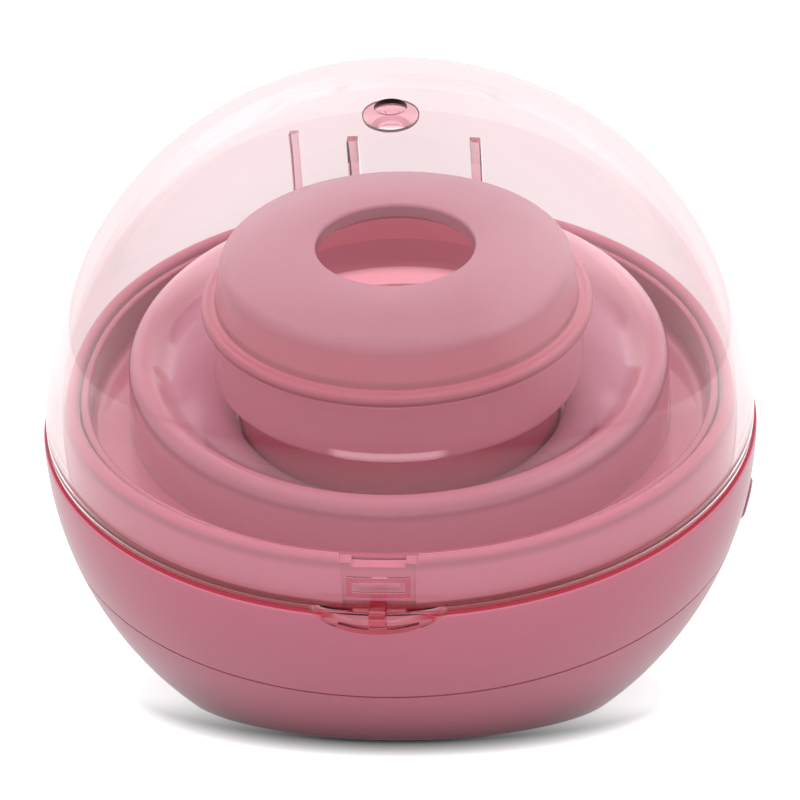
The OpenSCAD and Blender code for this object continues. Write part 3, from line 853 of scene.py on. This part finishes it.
def build_dome():
    ob = lathe("dome_clear", dome_profile(), MATERIALS["dome"], segs=FINE)
    add_gate_mark(ob)
    tab = bmesh.new()
    thumb_tab(tab)
    boolean(ob, tab, "UNION")
    nub = bmesh.new()
    prism(nub, [(-47.1, -0.55), (-44.4, -0.55), (-43.4, 2.0), (-46.4, 1.6)], -1.0, 1.0, 0.15)
    boolean(ob, nub, "UNION")
    panel = bmesh.new()
    witness_panel(panel, half_w=4.95, z0=0.9, z1=29.2, proud=0.06)
    boolean(ob, panel, "UNION")
    add_catch_frame(ob)
    for s in (-1, 1):
        rib = bmesh.new()
        prism(rib, rib_outline(), s * RIB_X - RIB_W / 2, s * RIB_X + RIB_W / 2, 0.12)
        boolean(ob, rib, "UNION")
        knuckle = bmesh.new()
        rod(knuckle, s * RIB_X - LUG_HALF, s * RIB_X + LUG_HALF, PIN_Y, PIN_Z, KNUCKLE_R + 0.02, 0.25)
        boolean(ob, knuckle, "UNION")
    add_guide_rib(ob)
    add_magnet_boss(ob)
    bore = bmesh.new()
    rod(bore, -15, 15, PIN_Y, PIN_Z, 1.0)
    boolean(ob, bore, "DIFFERENCE")
    return ob


dome = build_dome()
stand_for(dome, "dome", "lid")


# Power button: its face follows the ball, a little proud of it

def build_button():
    bm = bmesh.new()
    segs = 96
    face_r = BALL_R + 0.35
    stem_r, collar_r = 1.2, 3.3
    stem_x, collar_x, shank_x = 37.85, 39, 39.9

    def disc(r, x):
        points = [(x, y, z) for y, z in arc(0, BUTTON_H, r, 0, 360 - 360 / segs, segs - 1)]
        return [bm.verts.new(p) for p in points]

    def face_ring(r, lower):
        row = []
        for y, z in arc(0, BUTTON_H, r, 0, 360 - 360 / segs, segs - 1):
            row.append(bm.verts.new((math.sqrt(face_r ** 2 - y * y - (z - BALL_H) ** 2) - lower, y, z)))
        return row

    rings = [[bm.verts.new((stem_x, 0, BUTTON_H))], disc(stem_r, stem_x), disc(stem_r, collar_x)]
    rings += [disc(collar_r, collar_x), disc(collar_r, shank_x), disc(BUTTON_R, shank_x)]
    rings += [face_ring(BUTTON_R, 0.45), face_ring(BUTTON_R - 0.12, 0.15)]
    rings += [face_ring(r, 0) for r in (BUTTON_R - 0.4, 1.5, 0.7)]
    rings.append([bm.verts.new((math.sqrt(face_r ** 2 - (BUTTON_H - BALL_H) ** 2), 0, BUTTON_H))])
    skin(bm, rings)
    return finish_mesh("button_cap", bm, MATERIALS["button"], UPRIGHT)


button = build_button()
stand_for(button, "power_button", "button")


# CAD nodes that stay, each with its material

KEEP = {
    "lamp_seal": "seal", "uv_window": "glass", "uv_board": "lamp_board", "uv_leds": "ceramic",
    "lamp_screws": "steel", "lamp_cable": "cable", "main_board": "board", "board_chips": "chip",
    "board_screws": "steel", "battery": "foil", "battery_tray": "white", "charging_port": "steel",
    "charge_light": "pipe", "button_board": "board", "button_switch": "chip", "lid_sensor": "chip",
    "hinge_pin": "steel", "shell_screws": "steel", "foot_pad": "rubber", "lid_magnet": "nickel",
}
for name, key in KEEP.items():
    nodes[name].data.materials.clear()
    nodes[name].data.materials.append(MATERIALS[key])


# Floor: white to the eye and in gloss and glass, with the shadow close round the foot.
# Its places are in metres and its levels strengths of light. What is mirrored goes from one
# level to another one between two places along Y.

FLOOR_HALF = 6.0
SHADOW_REACH = 0.0065
SHADOW_FULL = 0.02
SHADOW_GONE = 0.8
SHADOW_FRONT = -0.029
SHADOW_BACK = -0.002
SHADOW_FADE = 0.85
SHINE = 0.9
GREY_SEEN = 0.5
GREY_LIGHTING = 0.45
MIRRORED_FRONT = (0.3, 1.07, -0.7, -0.15)
MIRRORED_BACK = (0.0, 0.6, 0.05, 0.4)


def build_floor():
    me = bpy.data.meshes.new("floor")
    corners = [(x * FLOOR_HALF, y * FLOOR_HALF, 0) for x, y in ((-1, -1), (1, -1), (1, 1), (-1, 1))]
    me.from_pydata(corners, [], [(0, 1, 2, 3)])
    ob = bpy.data.objects.new("floor", me)
    bpy.context.scene.collection.objects.link(ob)
    m, nt, b = new_material("floor_white")
    co = nt.nodes.new("ShaderNodeTexCoord")
    place = nt.nodes.new("ShaderNodeSeparateXYZ")
    nt.links.new(co.outputs["Object"], place.inputs["Vector"])
    y = place.outputs["Y"]
    # the shadow close round the foot is darker the nearer it lies, and fades towards the back
    near = nt.nodes.new("ShaderNodeAmbientOcclusion")
    near.inputs["Distance"].default_value = SHADOW_REACH
    near.samples = 16
    under = spread(nt, near.outputs["AO"], 0.0, 1.0, SHADOW_FULL, SHADOW_GONE)
    fade = spread(nt, y, 0.0, SHADOW_FADE, SHADOW_FRONT, SHADOW_BACK, soft=True)
    open_sky = maths(nt, "MAXIMUM", under, fade)
    # to the eye the floor shines a little itself, and it lights the object as grey paint does
    shine = maths(nt, "MULTIPLY", open_sky, ray_switch(nt, ["Is Camera Ray"], 0.0, SHINE))
    grey = maths(nt, "MULTIPLY", open_sky, ray_switch(nt, ["Is Camera Ray"], GREY_LIGHTING, GREY_SEEN))
    drift_and_painted_light = maths(nt, "MULTIPLY", grey, spread(nt, noise(nt, 8), 0.98, 1.02))
    nt.links.new(drift_and_painted_light, b.inputs["Base Color"])
    b.inputs["Roughness"].default_value = 0.9
    b.inputs["Specular IOR Level"].default_value = 0.1
    b.inputs["Emission Color"].default_value = (1, 1, 1, 1)
    nt.links.new(shine, b.inputs["Emission Strength"])
    # gloss and glass see it dimmer in front of the object, and gloss sees it brighter behind
    front = spread(nt, y, *MIRRORED_FRONT)
    behind = spread(nt, y, *MIRRORED_BACK)
    level = maths(nt, "MULTIPLY_ADD", behind, ray_switch(nt, ["Is Transmission Ray"], 1.0, 0.0), front)
    white = nt.nodes.new("ShaderNodeEmission")
    nt.links.new(maths(nt, "MULTIPLY", level, open_sky), white.inputs["Strength"])
    mix = nt.nodes.new("ShaderNodeMixShader")
    nt.links.new(ray_switch(nt, ["Is Glossy Ray", "Is Transmission Ray"], 0.0, 1.0), mix.inputs["Fac"])
    nt.links.new(b.outputs["BSDF"], mix.inputs[1])
    nt.links.new(white.outputs["Emission"], mix.inputs[2])
    nt.links.new(mix.outputs["Shader"], nt.nodes["Material Output"].inputs["Surface"])
    me.materials.append(m)


build_floor()


# Light: an even sky with a broad soft light overhead and one at each side. Gloss and glass see
# a white studio instead, dimmer behind the camera. Each light has its direction, the angles where it
# is full and where it is gone, its strength and, where it isn't seen by all rays, those that see it.

SKY_BASE = 0.6
LIGHTS = [((0, -0.45, 0.89), 15, 50, 2.5), ((-0.85, -0.31, 0.42), 10, 40, 0.5),
          ((0.85, -0.31, 0.42), 10, 40, 0.5)]
STUDIO_WHITE = 0.95
STUDIO_DIM = 0.3
STUDIO_DIM_GLASS = 0.6
STUDIO_SIDES = (-0.5, 0.2)
REFLECTED = [((0, 1, 0.2), 20, 60, 0.25), ((-0.45, 0.55, 0.7), 10, 35, 1.0, "Is Transmission Ray"),
             ((0.45, 0.55, 0.7), 10, 35, 1.0, "Is Transmission Ray"),
             ((0.8, -0.25, 0.55), 10, 35, 1.3, "Is Transmission Ray")]


def sky_level(nt, way, base, lights):
    """A base level, a number or a socket, plus soft round lights."""
    total = base
    for axis, full, gone, strength, *rays in lights:
        dot = nt.nodes.new("ShaderNodeVectorMath")
        dot.operation = "DOT_PRODUCT"
        dot.inputs[1].default_value = Vector(axis).normalized()
        nt.links.new(way, dot.inputs[0])
        edge, core = math.cos(math.radians(gone)), math.cos(math.radians(full))
        light = spread(nt, dot.outputs["Value"], 0.0, strength, edge, core, soft=True)
        if rays:
            nt.links.new(ray_switch(nt, rays, 0.0, strength), light.node.inputs["To Max"])
        total = maths(nt, "ADD", total, light)
    return total


def build_sky():
    world = bpy.data.worlds.new("studio")
    bpy.context.scene.world = world
    world.use_nodes = True
    nt = world.node_tree
    co = nt.nodes.new("ShaderNodeTexCoord")
    way = co.outputs["Generated"]
    lit = sky_level(nt, way, SKY_BASE, LIGHTS)
    split = nt.nodes.new("ShaderNodeSeparateXYZ")
    nt.links.new(way, split.inputs["Vector"])
    depth = spread(nt, split.outputs["Y"], STUDIO_DIM, STUDIO_WHITE, *STUDIO_SIDES)
    dim = ray_switch(nt, ["Is Transmission Ray"], STUDIO_DIM, STUDIO_DIM_GLASS)
    nt.links.new(dim, depth.node.inputs["To Min"])
    seen = sky_level(nt, way, depth, REFLECTED)
    mix = nt.nodes.new("ShaderNodeMix")
    nt.links.new(ray_switch(nt, ["Is Glossy Ray", "Is Transmission Ray"], 0.0, 1.0), mix.inputs["Factor"])
    nt.links.new(lit, mix.inputs["A"])
    nt.links.new(seen, mix.inputs["B"])
    back = nt.nodes["Background"]
    back.inputs["Color"].default_value = (1, 1, 1, 1)
    nt.links.new(mix.outputs["Result"], back.inputs["Strength"])


build_sky()


# Camera: 10 degrees above the table, a little to the right of the front

EYE = math.radians(10.084)
TURN = math.radians(3.58)
DISTANCE = 0.6
FOCAL = 4801.6
FRAME = 800
AIM_UP = 12.0 / FOCAL


def build_camera():
    cam = bpy.data.cameras.new("camera")
    cam.sensor_width = 36
    cam.lens = FOCAL / FRAME * cam.sensor_width
    cam.clip_end = 50
    ob = bpy.data.objects.new("camera", cam)
    bpy.context.scene.collection.objects.link(ob)
    level = DISTANCE * math.cos(EYE)
    ob.location = (level * math.sin(TURN), -level * math.cos(TURN), BALL_H * MM + DISTANCE * math.sin(EYE))
    ob.rotation_euler = (math.radians(90) - EYE + AIM_UP, 0, TURN)
    bpy.context.scene.camera = ob


build_camera()
bpy.context.scene.view_settings.view_transform = "Standard"
